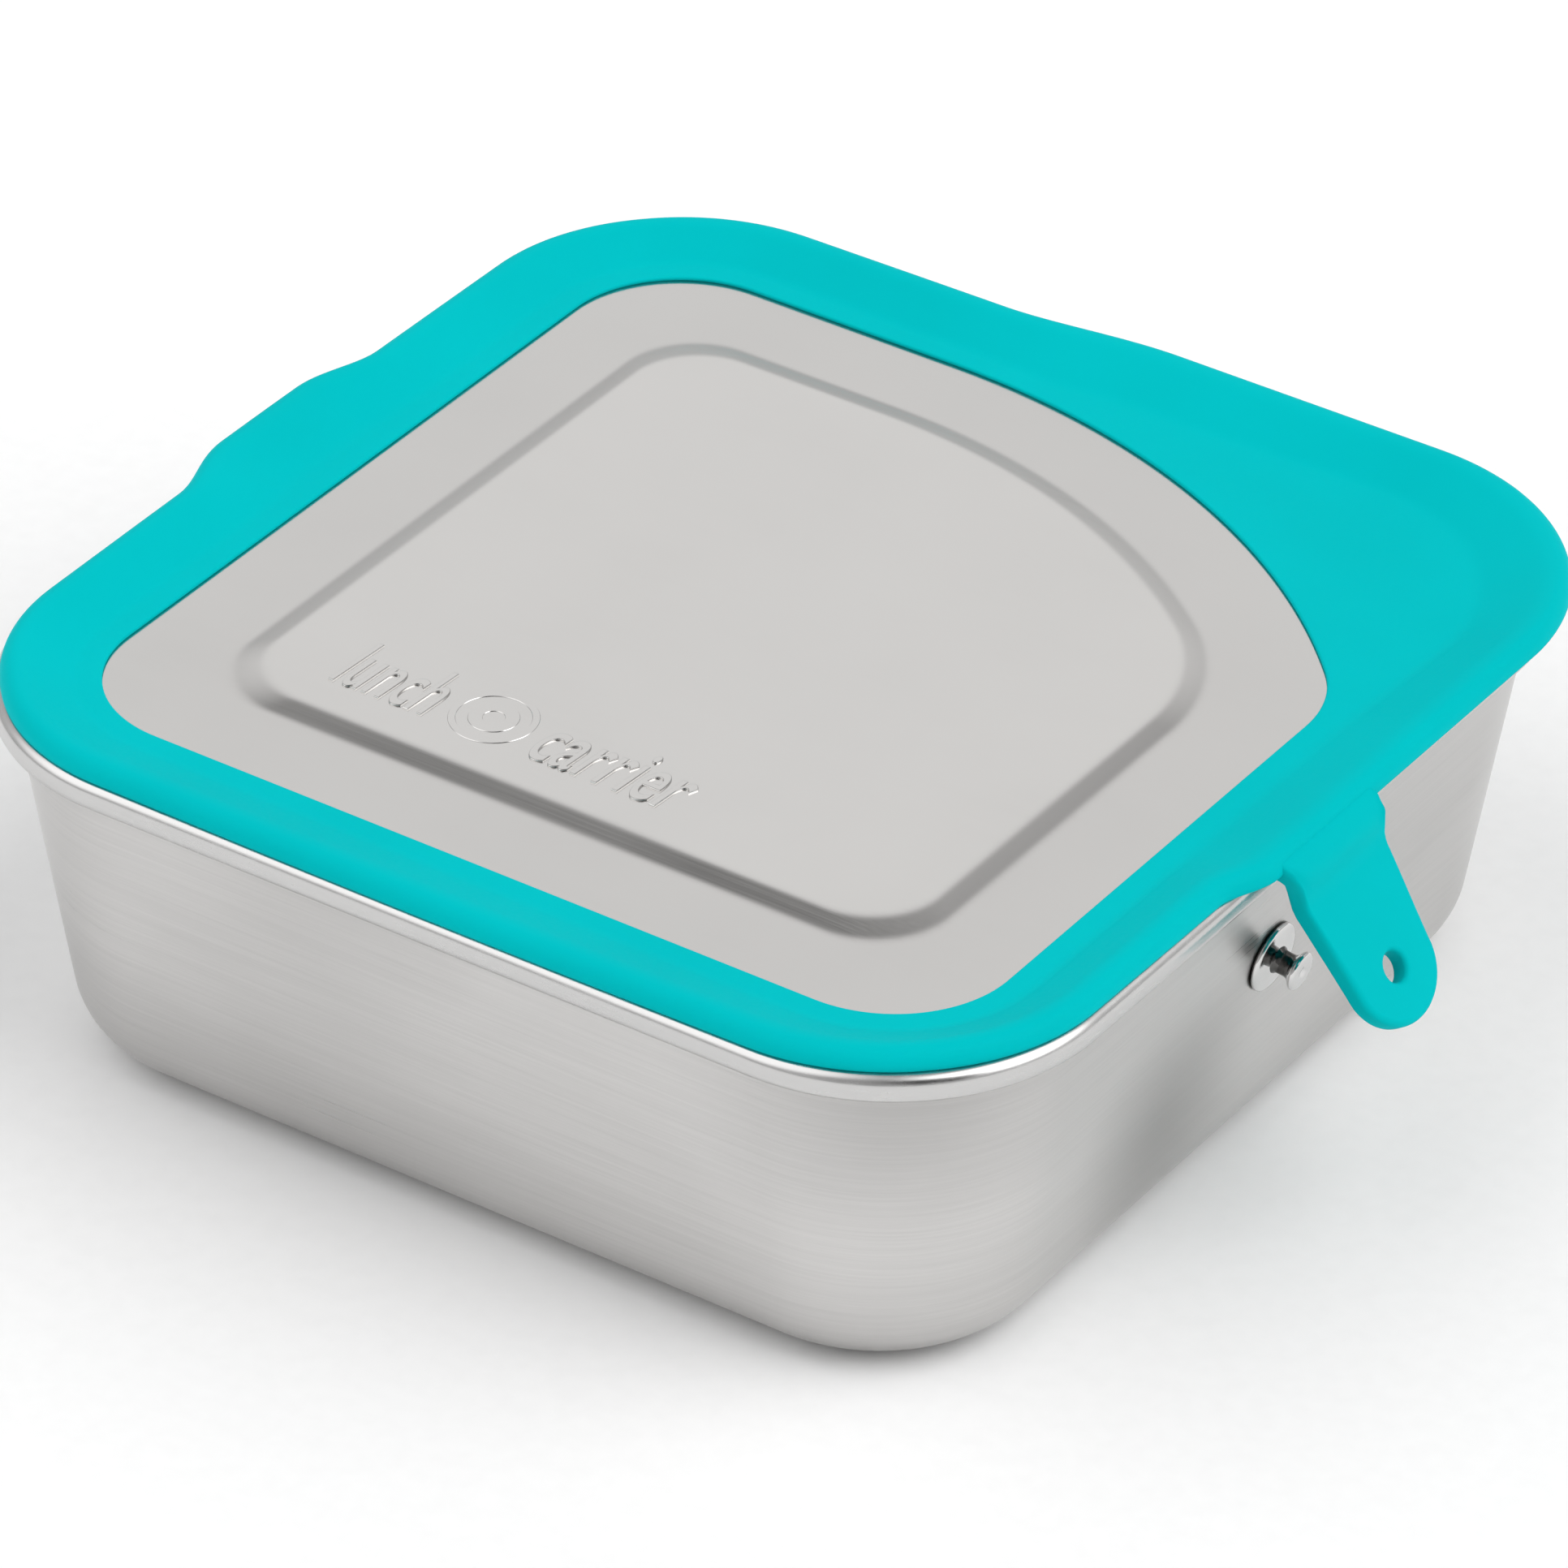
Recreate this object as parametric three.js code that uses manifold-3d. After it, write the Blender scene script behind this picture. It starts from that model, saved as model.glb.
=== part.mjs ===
// Square steel lunch box with a silicone-edged lid, millimetres, +Z up, origin at the centre of the base.
// +X is the side with the latch stud and strap, -X the side with the finger tab.
import * as THREE from "three";
import Module from "manifold-3d";

const wasm = await Module();
wasm.setup();

// ---- driving dimensions ----
const GAP = 0.3; // clearance between pieces that touch on the real box

// tray
const SHEET = 0.6; // steel sheet thickness
const BASE_HALF = 71.05; // half width of the walls, extended down to the base plane
const WALL_SLOPE = 0.1412; // outward lean of the walls, mm per mm of height
const BASE_RADIUS = 23; // plan corner radius at the base
const RADIUS_GROWTH = 0.099; // plan corner radius gained per mm of height
const FLOOR_FILLET = 10; // radius between floor and wall
const BEAD_TOP = 53; // height of the top of the rolled rim
const BEAD_BOTTOM = 48.7; // height of the underside of the rolled rim
const BEAD_RADIUS = 1.64; // outer radius of the curl

// lid
const LID_HALF = 79.95; // half width of the silicone flange at its corners
const LID_RADIUS = 30.5; // plan corner radius of the flange
const LID_BOW = 0.77; // how far the middle of each side bows out
const LIP_HALF = 83.4; // half width around the wide (+X, +Y) corner
const LIP_RADIUS = 34;
const LIP_FROM = [-22, -12]; // y between which the flange widens along the +X side
const LIP_TO = [-18, 8]; // x between which it widens along the +Y side
const TAB_REACH = 3.2; // how far the finger tab stands out on the -X side
const TAB_FLAT = 8; // half length of the tab's straight edge
const TAB_FOOT = 22; // half length of the tab at its root
const FLANGE_BOTTOM = BEAD_TOP + GAP;
const FLANGE_TOP = 55.7;
const FLANGE_ROUND = 2.2; // radius along the flange's top outer edge
const FLANGE_CHAMFER = 0.3; // small bevel along its underside
const RAMP_WIDTH = 11; // the flange falls over this width from its rim in to the window
const SILL_TOP = 53.2; // height of the silicone along the window
const SILL_WIDTH = 3;
const PLUG_BOTTOM = 45.4;
const PLUG_ROUND = 0.6; // bevel along the plug's lower edges
const PLUG_INNER = 4.7; // plug's inner face, in from the tray wall
const RIB_HEIGHTS = [47.4, 50.0];
const RIB_HALF = 0.7; // half height of a rib
const RIB_DEPTH = 0.9; // how far the ribs stand out from the plug

// panel
const PANEL_TOP = 52.4;
const WINDOW_X = 67.3; // half width of the visible steel
const WINDOW_Y = 66.85;
const WINDOW_SHIFT = [0.28, 0.1]; // centre of the window in plan
const WINDOW_CORNER = 17;
const CUT_CENTRE = [-17.9, -42.3]; // centre of the large arc, from the window's centre
const CUT_BLEND = 18.6; // radius between the large arc and the +X edge
const PANEL_HIDDEN = 4; // how far the panel runs on inside the silicone
const RAISED_HEIGHT = 0.8; // height of the raised centre
const RAISED_INSET = 12.3; // from the window's edge to the foot of the raised centre
const RAISED_SLOPE = 4.4; // plan width of the slope
const RAISED_CORNER = [11.5, 10]; // plan corner radius at the foot and at the crown of the slope
const RAISED_BLEND = [30, 26]; // radius between the large arc and the +X edge, at the foot and at the crown
const SLOPE_STEPS = [0, 0.2, 0.5, 0.8, 1];

// strap
const STRAP_Y = -0.4; // centre of the strap and of the stud along the wall
const STRAP_THICKNESS = 2.8;
const STRAP_PIVOT = [84.0, 53.2]; // x and z of the flexible root's centre
const STRAP_HANG = [84.4, 50.4]; // x and z of the mid-thickness line where it hangs upright
const STRAP_BEND = [85.15, 47.4]; // x and z of that line where the straight part starts
const STRAP_ROOT_TILT = 60; // degrees of the root's outward normal from vertical
const STRAP_TURN = 55; // degrees below horizontal of the straight part
const STRAP_REACH = 13.2; // from the bend to the centre of the hole
const STRAP_TIP = 7.5; // from the centre of the hole to the tip
const STRAP_ROOT_HALF = 11.2; // half width at the root
const STRAP_TOP_HALF = 9.6; // half width at the bend
const STRAP_HOLE_HALF = 8.35; // half width at the hole
const STRAP_EDGE = 0.8; // edge rounding
const EDGE_SHARE = 0.6; // the most that edge rounding takes of a thin end
const HOLE_RADIUS = 2.05;

// stud
const STUD_HEIGHT = 31.7; // where its axis meets the wall
const STUD_FLANGE_RADIUS = 4.8;
const STUD_FLANGE_THICKNESS = 0.7;
const STUD_FLANGE_BEVEL = 0.25;
const STUD_NECK_RADIUS = 1.6;
const STUD_NECK_FILLET = 0.4;
const STUD_HEAD_RADIUS = 2.65;
const STUD_HEAD_THICKNESS = 0.55;
const STUD_HEAD_BEVEL = 0.3;
const STUD_DIMPLE = 0.6; // radius of the dimple in the head
const STUD_LENGTH = 4.9; // from the wall to the face of the head

// ---- plan outlines ----
const rad = THREE.MathUtils.degToRad;
const smooth = (t) => THREE.MathUtils.smoothstep(t, 0, 1);
const between = (value, [from, to]) => THREE.MathUtils.smoothstep(value, from, to);
const mix = ([from, to], share) => from + share * (to - from);

// Directions in which outlines are sampled: every 2 degrees around the corners, every sideStep along the sides.
function directions(sideStep) {
  const angles = [];
  for (let a = 0; a < 360; a += 1) {
    const inCorner = Math.abs((a % 90) - 45) <= 15;
    if (inCorner ? a % 2 === 0 : a % sideStep === 0) angles.push(rad(a + 0.01));
  }
  return angles;
}
const TRAY_DIRECTIONS = directions(15);
const LID_DIRECTIONS = directions(3);

function roundedSquare(half, radius) {
  const c = half - radius;
  const path = new THREE.Path();
  path.absarc(c, c, radius, 0, Math.PI / 2);
  path.absarc(-c, c, radius, Math.PI / 2, Math.PI);
  path.absarc(-c, -c, radius, Math.PI, 1.5 * Math.PI);
  path.absarc(c, -c, radius, 1.5 * Math.PI, 2 * Math.PI);
  path.closePath();
  return path.getPoints(60);
}

// The lid window: three round corners, and a large arc tangent to the +Y edge in place of the fourth.
function windowOutline(inset, corner = WINDOW_CORNER - inset, blend = CUT_BLEND - inset) {
  const hx = WINDOW_X - inset;
  const hy = WINDOW_Y - inset;
  const [cx, cy] = CUT_CENTRE;
  const arc = hy - cy;
  const bx = hx - blend;
  const by = cy + Math.sqrt((arc - blend) ** 2 - (bx - cx) ** 2);
  const meet = Math.atan2(by - cy, bx - cx);
  const path = new THREE.Path();
  path.absarc(bx, by, blend, 0, meet);
  path.absarc(cx, cy, arc, meet, Math.PI / 2);
  path.absarc(-hx + corner, hy - corner, corner, Math.PI / 2, Math.PI);
  path.absarc(-hx + corner, -hy + corner, corner, Math.PI, 1.5 * Math.PI);
  path.absarc(hx - corner, -hy + corner, corner, 1.5 * Math.PI, 2 * Math.PI);
  path.closePath();
  return path.getPoints(60).map((p) => p.add(new THREE.Vector2(...WINDOW_SHIFT)));
}

// Distance from the centre to an outline in each of the given directions.
function radii(outline, angles) {
  return angles.map((angle) => {
    const dx = Math.cos(angle);
    const dy = Math.sin(angle);
    let best = 0;
    outline.forEach((p, i) => {
      const q = outline[(i + 1) % outline.length];
      const ex = q.x - p.x;
      const ey = q.y - p.y;
      const cross = dx * ey - dy * ex;
      if (Math.abs(cross) < 1e-9) return;
      const along = (p.x * ey - p.y * ex) / cross;
      const part = (p.x * dy - p.y * dx) / cross;
      if (part >= -1e-6 && part <= 1 + 1e-6) best = Math.max(best, along);
    });
    return best;
  });
}

const squareRadii = (half, radius, angles = LID_DIRECTIONS) => radii(roundedSquare(half, radius), angles);
const windowRadii = (...args) => radii(windowOutline(...args), LID_DIRECTIONS);

// The lid's outer edge, moved inward by inset: bowed sides, the finger tab and the wide corner lip.
function lidRadii(inset) {
  const body = squareRadii(LID_HALF - inset, LID_RADIUS - inset);
  const lip = squareRadii(LIP_HALF - inset, LIP_RADIUS - inset);
  return LID_DIRECTIONS.map((angle, i) => {
    const dx = Math.cos(angle);
    const dy = Math.sin(angle);
    const x = (body[i] * dx) / LID_HALF;
    const y = (body[i] * dy) / LID_HALF;
    const bow = LID_BOW * Math.max(1 - x * x, 1 - y * y, 0);
    let r = body[i] + bow;
    const along = Math.abs(r * dy);
    if (dx < 0 && along < TAB_FOOT) r += TAB_REACH * smooth((TAB_FOOT - along) / (TAB_FOOT - TAB_FLAT));
    let share = 0;
    if (dx > 0 && Math.abs(dx) >= Math.abs(dy)) share = between(r * dy, LIP_FROM);
    else if (dy > 0) share = between(r * dx, LIP_TO);
    return r + share * (lip[i] - r);
  });
}

const ring = (distances, z, angles = LID_DIRECTIONS) =>
  angles.map((angle, i) => [distances[i] * Math.cos(angle), distances[i] * Math.sin(angle), z]);

// ---- solids ----
function meshOf(name, geometry, material) {
  const mesh = new THREE.Mesh(geometry, material);
  mesh.name = name;
  return mesh;
}

// A closed skin over a stack of rings: "loop" joins the last ring to the first, "caps" closes both ends.
function skin(rings, ends) {
  const n = rings[0].length;
  const vertices = rings.flat(2);
  const faces = [];
  const count = ends === "loop" ? rings.length : rings.length - 1;
  for (let k = 0; k < count; k++) {
    const a = k * n;
    const b = ((k + 1) % rings.length) * n;
    for (let i = 0; i < n; i++) {
      const j = (i + 1) % n;
      faces.push(a + i, a + j, b + j, a + i, b + j, b + i);
    }
  }
  if (ends === "caps") {
    [0, rings.length - 1].forEach((k, end) => {
      const middle = vertices.length / 3;
      vertices.push(...[0, 1, 2].map((axis) => rings[k].reduce((sum, p) => sum + p[axis], 0) / n));
      for (let i = 0; i < n; i++) {
        const j = (i + 1) % n;
        if (end === 0) faces.push(middle, k * n + j, k * n + i);
        else faces.push(middle, k * n + i, k * n + j);
      }
    });
  }
  const geometry = new THREE.BufferGeometry();
  geometry.setAttribute("position", new THREE.Float32BufferAttribute(vertices, 3));
  geometry.setIndex(faces);
  geometry.computeVertexNormals();
  return geometry;
}

// Points of an arc in a vertical section: centre, radius, start and end angle in degrees, number of steps.
const arcPoints = (cx, cz, r, from, to, steps) =>
  Array.from({ length: steps + 1 }, (_, i) => {
    const a = rad(from + ((to - from) * i) / steps);
    return [cx + r * Math.cos(a), cz + r * Math.sin(a)];
  });

const steel = (color) => new THREE.MeshStandardMaterial({ color, metalness: 1, roughness: 0.3 });
const silicone = (color) => new THREE.MeshStandardMaterial({ color, metalness: 0, roughness: 0.6 });

// ---- tray ----
const lean = Math.atan(WALL_SLOPE);
const wallAt = (z) => BASE_HALF + WALL_SLOPE * z; // outer face of the wall

function buildTray() {
  const filletCentre = BASE_HALF + WALL_SLOPE * FLOOR_FILLET - FLOOR_FILLET / Math.cos(lean);
  const leanDeg = THREE.MathUtils.radToDeg(lean);
  const topCentre = BEAD_TOP - BEAD_RADIUS;
  const lowCentre = BEAD_BOTTOM + BEAD_RADIUS;
  const curlX = wallAt(topCentre) - SHEET + BEAD_RADIUS; // the wall's inner face runs into the curl's outer one
  const inner = BEAD_RADIUS - SHEET;
  const section = [
    ...arcPoints(filletCentre, FLOOR_FILLET, FLOOR_FILLET, -90, -leanDeg, 6),
    [wallAt(30), 30],
    [wallAt(lowCentre - 1.5), lowCentre - 1.5],
    ...arcPoints(curlX, topCentre, inner, 180, 0, 4),
    ...arcPoints(curlX, lowCentre, inner, 0, -112, 2),
    ...arcPoints(curlX, lowCentre, BEAD_RADIUS, -112, 0, 4),
    ...arcPoints(curlX, topCentre, BEAD_RADIUS, 0, 180, 7),
    [wallAt(30) - SHEET / Math.cos(lean), 30],
    ...arcPoints(filletCentre, FLOOR_FILLET, FLOOR_FILLET - SHEET, -leanDeg, -90, 6),
  ];
  const rings = section.map(([half, z]) => {
    const radius = BASE_RADIUS + RADIUS_GROWTH * z + (half - wallAt(z));
    return ring(squareRadii(half, radius, TRAY_DIRECTIONS), z, TRAY_DIRECTIONS);
  });
  return skin(rings, "caps");
}

// ---- lid frame ----
function buildFrame() {
  const slotTop = PANEL_TOP + GAP;
  const slotBottom = PANEL_TOP - SHEET - GAP;
  const underside = slotBottom - 2 * SHEET;
  const plugRing = (inset, level, z = level) => {
    const face = wallAt(level) - SHEET - GAP;
    const corner = BASE_RADIUS + RADIUS_GROWTH * level - SHEET - GAP;
    return ring(squareRadii(face - inset, corner - inset), z);
  };
  // The flange falls evenly from its rim, and lies flat where the wide corner leaves it more width.
  const rim = lidRadii(FLANGE_ROUND);
  const sill = windowRadii(-SILL_WIDTH);
  const rampRing = (share) => {
    const distances = rim.map((r, i) => r - share * Math.min(r - sill[i], RAMP_WIDTH));
    return ring(distances, mix([FLANGE_TOP, SILL_TOP], share));
  };
  const rings = [
    ring(lidRadii(FLANGE_CHAMFER), FLANGE_BOTTOM),
    ring(lidRadii(0), FLANGE_BOTTOM + FLANGE_CHAMFER),
    ...arcPoints(0, FLANGE_TOP - FLANGE_ROUND, FLANGE_ROUND, 25, 90, 3).map(([x, z]) =>
      ring(lidRadii(FLANGE_ROUND - x), z),
    ),
    rampRing(0.5),
    rampRing(1),
    ring(windowRadii(-GAP), SILL_TOP),
    ring(windowRadii(0), SILL_TOP - GAP),
    ring(windowRadii(0), slotTop),
    ring(windowRadii(-PANEL_HIDDEN - GAP), slotTop),
    ring(windowRadii(-PANEL_HIDDEN - GAP), slotBottom),
    ring(windowRadii(0), slotBottom),
    ring(windowRadii(0), underside),
    plugRing(PLUG_INNER + PLUG_ROUND, underside),
    plugRing(PLUG_INNER, PLUG_BOTTOM + PLUG_ROUND),
    plugRing(PLUG_INNER - PLUG_ROUND, PLUG_BOTTOM),
    plugRing(RIB_DEPTH + PLUG_ROUND, PLUG_BOTTOM),
    plugRing(RIB_DEPTH, PLUG_BOTTOM + PLUG_ROUND),
  ];
  for (const z of RIB_HEIGHTS) {
    rings.push(plugRing(RIB_DEPTH, z - RIB_HALF), plugRing(0, z), plugRing(RIB_DEPTH, z + RIB_HALF));
  }
  rings.push(plugRing(RIB_DEPTH, FLANGE_BOTTOM - 1), plugRing(RIB_DEPTH + GAP, FLANGE_BOTTOM));
  // The flange is cut straight where the rounded root of the strap sits.
  const face = STRAP_PIVOT[0] - STRAP_THICKNESS / 2 - GAP;
  const size = 10;
  const notch = new THREE.BoxGeometry(size, 2 * (STRAP_ROOT_HALF + GAP), size);
  notch.translate(face + size / 2, STRAP_Y, FLANGE_TOP);
  return subtract(skin(rings, "loop"), notch);
}

// ---- lid panel ----
function buildPanel() {
  const slope = (share, base) => {
    const inset = RAISED_INSET + share * RAISED_SLOPE;
    const outline = windowRadii(inset, mix(RAISED_CORNER, share), mix(RAISED_BLEND, share));
    return ring(outline, base + RAISED_HEIGHT * smooth(share));
  };
  const bottom = PANEL_TOP - SHEET;
  const under = SLOPE_STEPS.map((share) => slope(share, bottom)).reverse();
  const top = SLOPE_STEPS.map((share) => slope(share, PANEL_TOP));
  const edge = windowRadii(-PANEL_HIDDEN);
  return skin([...under, ring(edge, bottom), ring(edge, PANEL_TOP), ...top], "caps");
}

// ---- latch stud ----
function buildStud() {
  const flange = GAP + STUD_FLANGE_THICKNESS;
  const head = STUD_LENGTH - STUD_HEAD_THICKNESS;
  const profile = [
    [0, GAP],
    [STUD_FLANGE_RADIUS - STUD_FLANGE_BEVEL, GAP],
    [STUD_FLANGE_RADIUS, GAP + STUD_FLANGE_BEVEL],
    [STUD_FLANGE_RADIUS, flange - STUD_FLANGE_BEVEL],
    [STUD_FLANGE_RADIUS - STUD_FLANGE_BEVEL, flange],
    [STUD_NECK_RADIUS + STUD_NECK_FILLET, flange],
    [STUD_NECK_RADIUS, flange + STUD_NECK_FILLET],
    [STUD_NECK_RADIUS, head - 2 * STUD_NECK_FILLET],
    [STUD_NECK_RADIUS + STUD_NECK_FILLET, head - STUD_NECK_FILLET],
    [STUD_HEAD_RADIUS, head],
    [STUD_HEAD_RADIUS, STUD_LENGTH - STUD_HEAD_BEVEL],
    [STUD_HEAD_RADIUS - STUD_HEAD_BEVEL, STUD_LENGTH],
    [STUD_DIMPLE, STUD_LENGTH],
    [0, STUD_LENGTH - STUD_HEAD_BEVEL],
  ].map(([r, h]) => new THREE.Vector2(r, h));
  const geometry = new THREE.LatheGeometry(profile, 40);
  const axis = new THREE.Vector3(Math.cos(lean), 0, -Math.sin(lean));
  geometry.applyQuaternion(new THREE.Quaternion().setFromUnitVectors(new THREE.Vector3(0, 1, 0), axis));
  geometry.translate(wallAt(STUD_HEIGHT), STRAP_Y, STUD_HEIGHT);
  return geometry;
}

// ---- lid strap ----
// A band of slabs. Each station is a mid-thickness point, the tilt of the outward normal from vertical,
// a half width and a half thickness. The root is rounded about the pivot, and the tip in plan.
function buildStrap() {
  const depth = STRAP_THICKNESS / 2;
  const turn = rad(STRAP_TURN);
  const [bendX, bendZ] = STRAP_BEND;
  const straight = (s) => [bendX + s * Math.cos(turn), bendZ - s * Math.sin(turn)];
  const stations = [];
  const [px, pz] = STRAP_PIVOT;
  for (const a of [72, 45, 20]) {
    const back = depth * Math.sin(rad(a));
    const x = px - back * Math.cos(rad(STRAP_ROOT_TILT));
    const z = pz + back * Math.sin(rad(STRAP_ROOT_TILT));
    stations.push({ at: [x, z], tilt: STRAP_ROOT_TILT, half: STRAP_ROOT_HALF, thick: depth * Math.cos(rad(a)) });
  }
  const knots = [STRAP_PIVOT, STRAP_HANG, STRAP_BEND, straight(STRAP_REACH / 2)];
  const curve = new THREE.SplineCurve(knots.map((k) => new THREE.Vector2(...k)));
  for (const share of [0, 0.15, 0.3, 0.45, 0.6, 0.75]) {
    const p = curve.getPoint(share);
    const t = curve.getTangent(share);
    const tilt = share === 0 ? STRAP_ROOT_TILT : THREE.MathUtils.radToDeg(Math.atan2(-t.y, t.x));
    const half = mix([STRAP_ROOT_HALF, STRAP_TOP_HALF], smooth(share / 0.6));
    stations.push({ at: [p.x, p.y], tilt, half, thick: depth });
  }
  for (const a of [0, 18, 36, 52, 66, 78, 86]) {
    const at = straight(STRAP_REACH + STRAP_TIP * Math.sin(rad(a)));
    stations.push({ at, tilt: STRAP_TURN, half: STRAP_HOLE_HALF * Math.cos(rad(a)), thick: depth });
  }
  const rings = stations.map(({ at, tilt, half, thick }) => {
    const [nx, nz] = [Math.sin(rad(tilt)), Math.cos(rad(tilt))];
    const r = Math.min(STRAP_EDGE, half * EDGE_SHARE, thick * EDGE_SHARE);
    const profile = [
      ...arcPoints(half - r, thick - r, r, 0, 90, 3),
      ...arcPoints(-half + r, thick - r, r, 90, 180, 3),
      ...arcPoints(-half + r, -thick + r, r, 180, 270, 3),
      ...arcPoints(half - r, -thick + r, r, 270, 360, 3),
    ];
    return profile.map(([y, d]) => [at[0] + nx * d, STRAP_Y + y, at[1] + nz * d]);
  });
  const hole = new THREE.CylinderGeometry(HOLE_RADIUS, HOLE_RADIUS, 4 * STRAP_THICKNESS, 32);
  const normal = new THREE.Vector3(Math.sin(turn), 0, Math.cos(turn));
  hole.applyQuaternion(new THREE.Quaternion().setFromUnitVectors(new THREE.Vector3(0, 1, 0), normal));
  const [holeX, holeZ] = straight(STRAP_REACH);
  hole.translate(holeX, STRAP_Y, holeZ);
  return subtract(skin(rings, "caps"), hole);
}

// ---- solid subtraction ----
function toManifold(geometry) {
  const index = geometry.index.array;
  const position = geometry.getAttribute("position").array;
  const mesh = new wasm.Mesh({
    numProp: 3,
    vertProperties: new Float32Array(position),
    triVerts: new Uint32Array(index),
  });
  mesh.merge();
  return new wasm.Manifold(mesh);
}

function subtract(a, b) {
  const result = toManifold(a).subtract(toManifold(b)).getMesh();
  const geometry = new THREE.BufferGeometry();
  geometry.setAttribute("position", new THREE.Float32BufferAttribute(result.vertProperties, 3));
  geometry.setIndex(Array.from(result.triVerts));
  geometry.computeVertexNormals();
  return geometry;
}

// ---- assembly ----
const group = new THREE.Group();
group.name = "lunch_box";
group.add(
  meshOf("tray", buildTray(), steel(0xc9c9c7)),
  meshOf("latch_stud", buildStud(), steel(0xd4d4d2)),
  meshOf("lid_panel", buildPanel(), steel(0xc8c7c5)),
  meshOf("lid_frame", buildFrame(), silicone(0x00c4ca)),
  meshOf("lid_strap", buildStrap(), silicone(0x00bcc2)),
);

export default group;
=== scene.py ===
"""A square steel lunch box with a silicone-edged lid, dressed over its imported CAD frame.

Lengths in the section drawings are millimetres in the row frame and become metres in the meshes.
"""

import math

import bpy
import numpy as np
from mathutils import Matrix, Vector


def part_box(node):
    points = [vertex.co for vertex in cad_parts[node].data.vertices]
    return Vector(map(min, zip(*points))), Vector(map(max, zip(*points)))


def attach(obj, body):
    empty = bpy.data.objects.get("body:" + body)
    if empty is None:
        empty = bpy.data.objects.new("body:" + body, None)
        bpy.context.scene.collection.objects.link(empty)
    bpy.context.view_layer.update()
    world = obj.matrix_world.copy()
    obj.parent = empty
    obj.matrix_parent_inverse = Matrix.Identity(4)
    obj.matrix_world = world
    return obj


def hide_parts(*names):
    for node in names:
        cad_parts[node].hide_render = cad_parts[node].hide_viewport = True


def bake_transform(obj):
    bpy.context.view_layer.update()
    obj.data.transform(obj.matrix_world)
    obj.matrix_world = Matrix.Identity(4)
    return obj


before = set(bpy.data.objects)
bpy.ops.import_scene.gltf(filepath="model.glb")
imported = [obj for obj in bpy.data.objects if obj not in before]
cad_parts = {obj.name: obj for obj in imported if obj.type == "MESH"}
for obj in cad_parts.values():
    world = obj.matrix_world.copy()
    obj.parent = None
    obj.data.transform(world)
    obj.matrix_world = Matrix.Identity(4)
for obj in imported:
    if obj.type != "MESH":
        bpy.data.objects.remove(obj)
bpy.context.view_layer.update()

MM = 0.001


def span(node):
    """A CAD node's lowest and highest corners, in millimetres."""
    low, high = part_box(node)
    return [v / MM for v in low], [v / MM for v in high]


# ---- driving dimensions, from the frame where it holds them ----
TRAY_HIGH = span("tray")[1]
LID_LOW, LID_HIGH = span("lid_frame")

SHEET = 0.6
TOUCH_GAP = 0.05
BASE_HALF = 71.05
WALL_SLOPE = 0.1412
BASE_RADIUS = 23.0
RADIUS_GROWTH = 0.099
LEAST_RADIUS = 4.0
FLOOR_FILLET = 10.0
FLOOR_RINGS = (20, 40, 56)
BEAD_TOP = TRAY_HIGH[2]
BEAD_RADIUS = 1.64
BEAD_BOTTOM = 48.7
BEAD_CLEARANCE = 1.5
CURL_END = -112

LID_HALF = 79.95
LID_RADIUS = 30.5
LID_BOW = 0.77
LIP_HALF = 83.4
LIP_RADIUS = 34.0
LIP_FROM = (-22, -18)
LIP_WIDTH = (10, 26)
TAB_REACH = 3.2
TAB_FLAT = 8.0
TAB_FOOT = 22.0
FLANGE_TOP = LID_HIGH[2]
FLANGE_BOTTOM = BEAD_TOP + TOUCH_GAP
FLANGE_ROUND = 2.2
FLANGE_START = 8
RAMP_WIDTH = 11.0
SILL_TOP = 52.98
SILL_WIDTH = 3.0
SILL_EDGE = 0.32

PLUG_BOTTOM = LID_LOW[2]
PLUG_OUTER = 0.9
PLUG_INNER = 4.9
PLUG_ROUND = 0.8
RIB_HEIGHTS = (47.4, 50.0)
RIB_HALF = 0.8
SLOT_DEPTH = 4.0
SLOT_LIP = 1.5
SLOT_ROUND = 0.5

PANEL_TOP = 52.4
PANEL_HIDDEN = 3.9
WINDOW_X = 67.3
WINDOW_Y = 66.85
WINDOW_SHIFT = (0.28, 0.1)
WINDOW_CORNER = 17.0
CUT_CENTRE = (-17.9, -42.3)
CUT_BLEND = 18.6
RAISED_HEIGHT = 0.8
RAISED_TOP = PANEL_TOP + RAISED_HEIGHT
RAISED_INSET = 12.3
RAISED_SLOPE = 5.4
RAISED_SOFT = 0.3
RAISED_CORNER = (11.5, 10.0)
RAISED_BLEND = (30, 26)

STRAP_Y = -0.4
STRAP_THICKNESS = 2.8
STRAP_REACH = 13.2
STRAP_HOLE_HALF = 8.35
STRAP_TAPER = 1.2
STRAP_TIP = 7.5
STRAP_TURN = 55.0
STRAP_EDGE = 0.9
ROOT_FLARE = (0.2, 0.1)
ROOT_START = 1.0
ROOT_LENGTH = 6.5
HOLE_RADIUS = 2.05
HOLE_EDGE = 0.7

STUD_HEIGHT = 31.7

LEAN = math.atan(WALL_SLOPE)


def wall_at(z):
    """Half width to the outer face of the wall at height z."""
    return BASE_HALF + WALL_SLOPE * z


def smooth(t):
    t = np.clip(t, 0, 1)
    return t * t * (3 - 2 * t)


def ease(t, soft=0.2):
    """Straight from 0 to 1, with its two ends rounded over the given share."""
    t = np.clip(t, 0, 1)
    slope = 1 / (1 - soft)
    start = slope * t * t / (2 * soft)
    end = 1 - slope * (1 - t) ** 2 / (2 * soft)
    return np.where(t < soft, start, np.where(t > 1 - soft, end, slope * (t - soft / 2)))


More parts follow.
